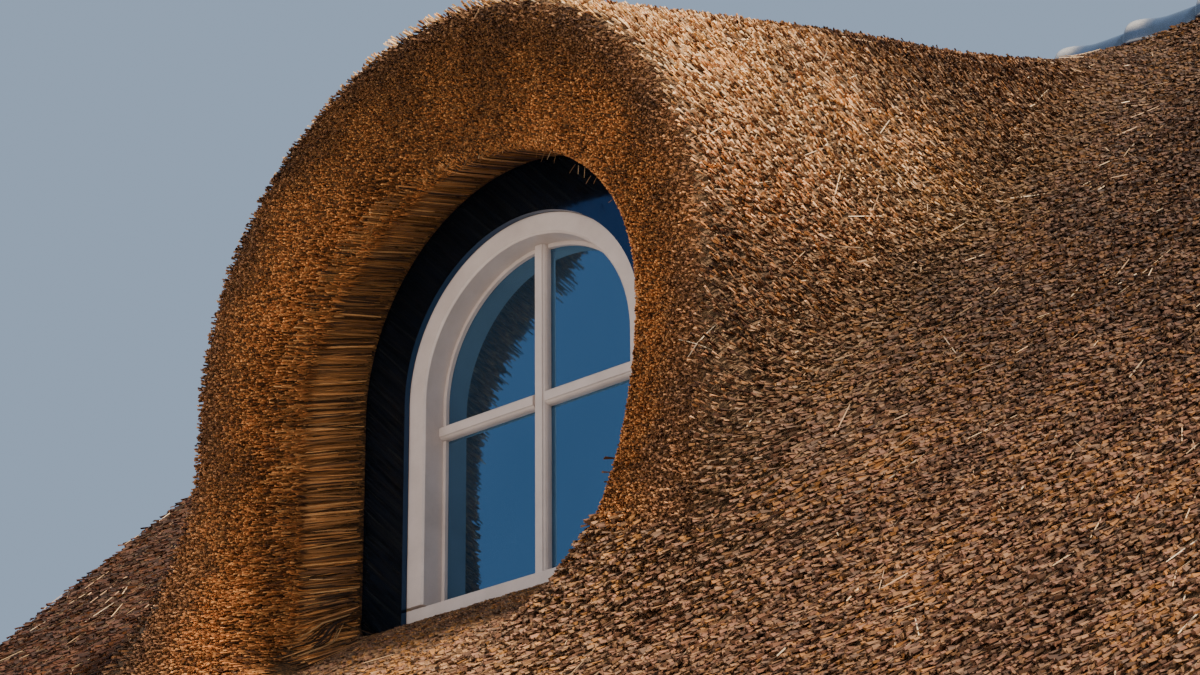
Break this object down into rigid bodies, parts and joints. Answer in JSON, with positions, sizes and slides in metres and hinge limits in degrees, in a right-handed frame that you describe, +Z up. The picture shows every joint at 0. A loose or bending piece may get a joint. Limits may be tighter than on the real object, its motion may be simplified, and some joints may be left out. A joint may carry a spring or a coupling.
{
  "type": "thatched dormer window",
  "caption": "Arched dormer window with a white timber frame and a dark surround, set under a swept thatch hood in a patch of thatched roof with a tiled ridge.",
  "frame": {"origin": "middle of the flat underside of the lower header, on the sloping plane of the rafters' undersides", "axes": "+X to the right along the ridge seen from outside, +Y level into the roof, +Z up"},
  "size_m": [6.4, 4.4721, 4.5332],
  "materials": {
    "thatch": "water reed thatch, butts dressed to a surface",
    "ridge_tile": "glossy dark blue-grey glaze",
    "mortar": "mortar bedding",
    "timber": "planed softwood",
    "black_board": "high gloss black paint on board",
    "white_paint": "satin off-white paint on hardwood",
    "glass": "clear sealed glazing unit",
    "boarding": "plywood sheathing"
  },
  "bodies": {
    "root": {"crown_thatch": "thatch", "right_flank_thatch": "thatch", "left_flank_thatch": "thatch", "apron_thatch": "thatch", "right_roof_thatch": "thatch", "left_roof_thatch": "thatch", "ridge_thatch": "thatch", "ridge_tiles": "ridge_tile", "ridge_bedding": "mortar", "ridge_beam": "timber", "right_window_post": "timber", "left_window_post": "timber", "arch_head": "timber", "window_upstand": "timber", "front_rib": "timber", "middle_rib": "timber", "rear_rib": "timber", "right_trimmer": "timber", "left_trimmer": "timber", "right_rafters": "timber", "left_rafters": "timber", "lower_header": "timber", "upper_header": "timber", "jack_rafters": "timber", "surround_board": "black_board", "bottom_rail": "white_paint", "right_jamb": "white_paint", "left_jamb": "white_paint", "right_arch": "white_paint", "left_arch": "white_paint", "mullion": "white_paint", "transom": "white_paint", "glazing_beads": "white_paint", "window_board": "white_paint", "upper_right_pane": "glass", "upper_left_pane": "glass", "lower_right_pane": "glass", "lower_left_pane": "glass", "crown_boarding": "boarding", "right_cheek_boarding": "boarding", "left_cheek_boarding": "boarding", "right_deck": "boarding", "left_deck": "boarding", "lower_deck": "boarding", "upper_deck": "boarding"}
  },
  "joints": []
}
